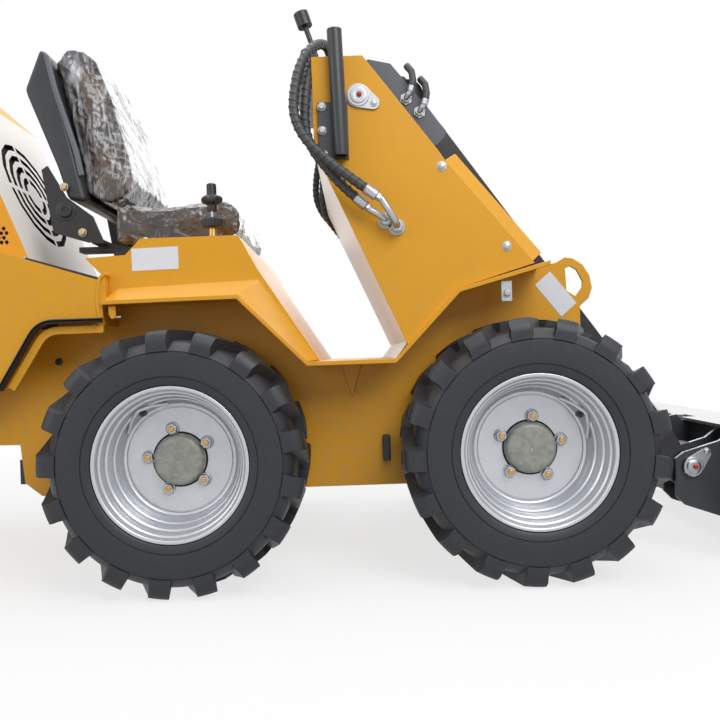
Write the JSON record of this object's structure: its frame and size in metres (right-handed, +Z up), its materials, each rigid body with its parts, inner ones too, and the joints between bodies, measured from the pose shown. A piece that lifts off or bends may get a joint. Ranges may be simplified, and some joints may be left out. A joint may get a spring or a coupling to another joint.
{
  "type": "skid steer loader",
  "caption": "Ride-on skid steer loader with a seat, a front tower carrying a two-arm boom and bucket, four lugged tyres and a rear engine hood.",
  "frame": {"origin": "on the floor below the middle of the overall length and width, midway between the axles", "axes": "+X forward, +Y to the loader's left, +Z up"},
  "size_m": [2.8, 1.08, 1.428],
  "materials": {
    "tyre": "matte moulded rubber",
    "rim_paint": "satin silver-grey paint",
    "hose": "spiral-wrapped black hose",
    "dark_paint": "satin dark grey paint",
    "black_paint": "satin black paint",
    "yellow_paint": "gloss yellow paint",
    "grey_paint": "satin dark grey paint",
    "black_rubber": "matte black rubber",
    "black_plastic": "matte black plastic",
    "seat_vinyl": "black vinyl under clear film",
    "cast_iron": "painted casting",
    "chrome_rod": "polished chrome",
    "zinc_steel": "yellow zinc plate",
    "worn_steel": "bare worn steel"
  },
  "bodies": {
    "chassis": {"axle_housings": "dark_paint", "chassis_frame": "yellow_paint", "chassis_plate_left": "yellow_paint", "chassis_plate_right": "yellow_paint", "control_console": "black_plastic", "control_knob": "black_plastic", "control_levers": "black_plastic", "engine_block": "cast_iron", "fender_rubber": "black_rubber", "floor_pan": "yellow_paint", "hand_rails": "black_paint", "hose_fittings": "zinc_steel", "hose_front_left": "hose", "hose_front_right": "hose", "hose_rear_left": "hose", "hose_rear_right": "hose", "rail_brackets": "black_paint", "rear_bumper": "cast_iron", "rear_fender_left": "yellow_paint", "rear_fender_right": "yellow_paint", "rubber_stops": "black_rubber", "seat_back_cushion": "seat_vinyl", "seat_back_shell": "black_plastic", "seat_console": "yellow_paint", "seat_cushion": "seat_vinyl", "seat_frame": "black_paint", "tower_side_left": "yellow_paint", "tower_side_right": "yellow_paint", "tower_wall": "yellow_paint"},
    "wheel_front_left": {"tyre_front_left": "tyre", "rim_front_left": "rim_paint"},
    "wheel_front_right": {"tyre_front_right": "tyre", "rim_front_right": "rim_paint"},
    "wheel_rear_left": {"tyre_rear_left": "tyre", "rim_rear_left": "rim_paint"},
    "wheel_rear_right": {"tyre_rear_right": "tyre", "rim_rear_right": "rim_paint"},
    "boom": {"boom_cheeks": "dark_paint", "boom_frame": "black_paint"},
    "bucket": {"coupler_frame": "grey_paint", "coupler_pins": "zinc_steel", "bucket_shell": "grey_paint", "cutting_edge": "worn_steel"},
    "lift_barrels": {"lift_barrels": "black_paint"},
    "lift_rods": {"lift_rods": "chrome_rod"},
    "tilt_barrel": {"tilt_barrel": "black_paint"},
    "tilt_rod": {"tilt_rod": "chrome_rod"},
    "hood": {"hood_shell": "yellow_paint"}
  },
  "joints": [
    {"name": "wheel_front_left", "type": "hinge", "parent": "chassis", "child": "wheel_front_left", "pos_m": [0.3945, 0.417, 0.29], "axis": [0, 1, 0], "continuous": true},
    {"name": "wheel_front_right", "type": "hinge", "parent": "chassis", "child": "wheel_front_right", "pos_m": [0.3945, -0.417, 0.29], "axis": [0, 1, 0], "continuous": true},
    {"name": "wheel_rear_left", "type": "hinge", "parent": "chassis", "child": "wheel_rear_left", "pos_m": [-0.3945, 0.417, 0.29], "axis": [0, 1, 0], "continuous": true},
    {"name": "wheel_rear_right", "type": "hinge", "parent": "chassis", "child": "wheel_rear_right", "pos_m": [-0.3945, -0.417, 0.29], "axis": [0, 1, 0], "continuous": true},
    {"name": "boom_lift", "type": "hinge", "parent": "chassis", "child": "boom", "pos_m": [0.035, 0, 1.098], "axis": [0, -1, 0], "range_deg": [0, 80]},
    {"name": "bucket_tilt", "type": "hinge", "parent": "boom", "child": "bucket", "pos_m": [0.818, 0, 0.212], "axis": [0, -1, 0], "range_deg": [-95, 25]},
    {"name": "lift_barrel_swing", "type": "hinge", "parent": "chassis", "child": "lift_barrels", "pos_m": [0.142, 0, 0.32], "axis": [0, -1, 0], "range_deg": [-2.58, 0.5]},
    {"name": "lift_rod_slide", "type": "slide", "parent": "lift_barrels", "child": "lift_rods", "axis": [0.1586, 0, 0.9873], "range_m": [0, 0.3672]},
    {"name": "tilt_barrel_swing", "type": "hinge", "parent": "boom", "child": "tilt_barrel", "pos_m": [0.545, 0, 0.655], "axis": [0, -1, 0], "range_deg": [-4.9, 1.66]},
    {"name": "tilt_rod_slide", "type": "slide", "parent": "tilt_barrel", "child": "tilt_rod", "axis": [0.6647, 0, -0.7471], "range_m": [-0.037, 0.1379]},
    {"name": "hood_lid", "type": "hinge", "parent": "chassis", "child": "hood", "pos_m": [-1.36, 0, 0.722], "axis": [0, -1, 0], "range_deg": [0, 55]}
  ],
  "couplings": [
    {"joint": "lift_barrel_swing", "follows": "boom_lift", "ratio": -0.026},
    {"joint": "lift_rod_slide", "follows": "boom_lift", "m_per_rad": 0.2622},
    {"joint": "tilt_barrel_swing", "follows": "bucket_tilt", "ratio": 0.0463},
    {"joint": "tilt_rod_slide", "follows": "bucket_tilt", "m_per_rad": -0.08259}
  ]
}
